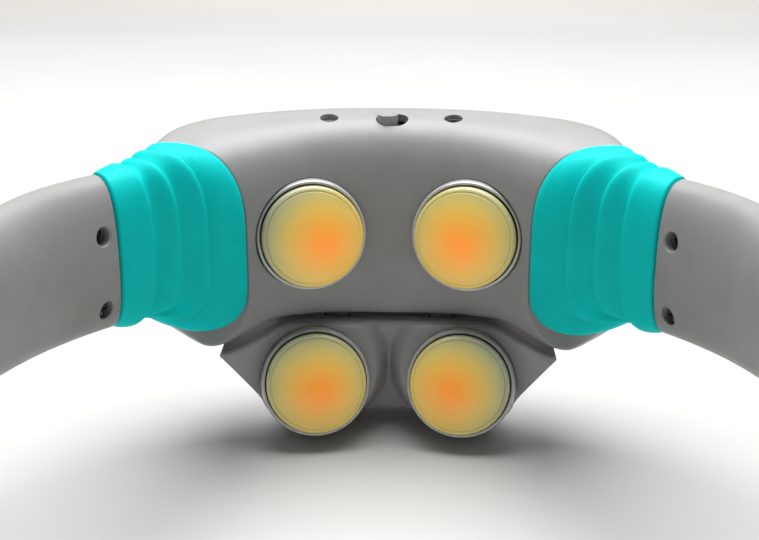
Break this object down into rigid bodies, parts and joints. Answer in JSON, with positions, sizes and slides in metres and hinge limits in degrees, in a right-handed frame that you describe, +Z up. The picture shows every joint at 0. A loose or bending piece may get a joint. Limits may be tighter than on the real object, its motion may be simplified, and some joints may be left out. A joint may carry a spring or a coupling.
{
  "type": "shiatsu neck massager",
  "caption": "U-shaped neck massager with sprung arms behind silicone bellows, heated domed contact heads and a tilting lower pad.",
  "frame": {"origin": "middle of the footprint at the height of the lower pad's feet", "axes": "+Z up, -Y towards the open side of the U, where the wearer's neck goes, +X to the arm with the buttons"},
  "size_m": [0.1521, 0.1464, 0.0718],
  "materials": {
    "grey_shell": "satin moulded ABS",
    "white_shell": "gloss moulded ABS",
    "teal_silicone": "soft silicone",
    "grey_ring": "satin moulded collar",
    "contact_plate": "polished contact plate, glowing amber when it heats",
    "black_plastic": "moulded",
    "heater_film": "polyimide film",
    "spring_steel": "bright wire",
    "hinge_steel": "zinc plated",
    "screw_steel": "black oxide",
    "cell_wrap": "pouch cell",
    "board_laminate": "solder mask",
    "lens_plastic": "smoked lens"
  },
  "bodies": {
    "casing": {"battery": "cell_wrap", "beeper": "black_plastic", "charging_socket": "black_plastic", "circuit_board": "board_laminate", "cover_screw_left": "screw_steel", "cover_screw_right": "screw_steel", "front_housing": "grey_shell", "indicator_lens": "lens_plastic", "left_bellows": "teal_silicone", "left_hinge_bracket": "hinge_steel", "left_hinge_pin": "hinge_steel", "left_hinge_spring": "spring_steel", "pad_hinge_rod": "hinge_steel", "pad_spring": "spring_steel", "rear_cover": "white_shell", "right_bellows": "teal_silicone", "right_hinge_bracket": "hinge_steel", "right_hinge_pin": "hinge_steel", "right_hinge_spring": "spring_steel", "slide_switch_body": "black_plastic", "upper_left_ring": "grey_ring", "upper_left_spring": "spring_steel", "upper_right_ring": "grey_ring", "upper_right_spring": "spring_steel"},
    "left_arm": {"left_arm_inner_shell": "grey_shell", "left_arm_leaf": "hinge_steel", "left_arm_outer_shell": "white_shell", "left_arm_screw_lower": "screw_steel", "left_arm_screw_upper": "screw_steel"},
    "right_arm": {"right_arm_inner_shell": "grey_shell", "right_arm_leaf": "hinge_steel", "right_arm_outer_shell": "white_shell", "right_arm_screw_lower": "screw_steel", "right_arm_screw_upper": "screw_steel", "button_board": "board_laminate"},
    "lower_pad": {"lower_left_ring": "grey_ring", "lower_left_spring": "spring_steel", "lower_right_ring": "grey_ring", "lower_right_spring": "spring_steel", "pad_back_cover": "grey_shell", "pad_front_shell": "grey_shell", "pad_screw_left": "screw_steel", "pad_screw_right": "screw_steel"},
    "switch_knob_body": {"switch_knob": "grey_shell"},
    "plus_key": {"plus_button": "white_shell"},
    "mode_key": {"mode_button": "white_shell"},
    "minus_key": {"minus_button": "white_shell"},
    "upper_left_head": {"upper_left_plate": "contact_plate", "upper_left_cup": "black_plastic", "upper_left_heater": "heater_film"},
    "upper_right_head": {"upper_right_plate": "contact_plate", "upper_right_cup": "black_plastic", "upper_right_heater": "heater_film"},
    "lower_left_head": {"lower_left_plate": "contact_plate", "lower_left_cup": "black_plastic", "lower_left_heater": "heater_film"},
    "lower_right_head": {"lower_right_plate": "contact_plate", "lower_right_cup": "black_plastic", "lower_right_heater": "heater_film"}
  },
  "joints": [
    {"name": "left_arm_hinge", "type": "hinge", "parent": "casing", "child": "left_arm", "pos_m": [-0.05131, 0.03209, 0.0494], "axis": [0, 0, -1], "range_deg": [0, 15], "stiffness_Nm_per_rad": 0.6, "deforming": ["left_bellows"]},
    {"name": "right_arm_hinge", "type": "hinge", "parent": "casing", "child": "right_arm", "pos_m": [0.05014, 0.03209, 0.0494], "axis": [0, 0, 1], "range_deg": [0, 15], "stiffness_Nm_per_rad": 0.6, "deforming": ["right_bellows"]},
    {"name": "lower_pad_tilt", "type": "hinge", "parent": "casing", "child": "lower_pad", "pos_m": [-0.00059, 0.05726, 0.0212], "axis": [1, 0, 0], "range_deg": [-1.5, 7], "stiffness_Nm_per_rad": 2},
    {"name": "upper_left_press", "type": "slide", "parent": "casing", "child": "upper_left_head", "axis": [-0.2485, 0.9609, -0.1219], "range_m": [0, 0.002], "stiffness_N_per_m": 1500, "deforming": ["upper_left_spring"]},
    {"name": "upper_right_press", "type": "slide", "parent": "casing", "child": "upper_right_head", "axis": [0.2485, 0.9609, -0.1219], "range_m": [0, 0.002], "stiffness_N_per_m": 1500, "deforming": ["upper_right_spring"]},
    {"name": "lower_left_press", "type": "slide", "parent": "lower_pad", "child": "lower_left_head", "axis": [-0.1504, 0.9494, -0.2756], "range_m": [0, 0.002], "stiffness_N_per_m": 1500, "deforming": ["lower_left_spring"]},
    {"name": "lower_right_press", "type": "slide", "parent": "lower_pad", "child": "lower_right_head", "axis": [0.1504, 0.9494, -0.2756], "range_m": [0, 0.002], "stiffness_N_per_m": 1500, "deforming": ["lower_right_spring"]},
    {"name": "power_switch", "type": "slide", "parent": "casing", "child": "switch_knob_body", "axis": [1, 0, 0], "range_m": [0, 0.0022]},
    {"name": "plus_press", "type": "slide", "parent": "right_arm", "child": "plus_key", "axis": [-0.9909, -0.1348, 0], "range_m": [0, 0.0008], "stiffness_N_per_m": 800},
    {"name": "mode_press", "type": "slide", "parent": "right_arm", "child": "mode_key", "axis": [-0.9954, -0.0955, 0], "range_m": [0, 0.0008], "stiffness_N_per_m": 800},
    {"name": "minus_press", "type": "slide", "parent": "right_arm", "child": "minus_key", "axis": [-0.9996, -0.0282, 0], "range_m": [0, 0.0008], "stiffness_N_per_m": 800}
  ]
}
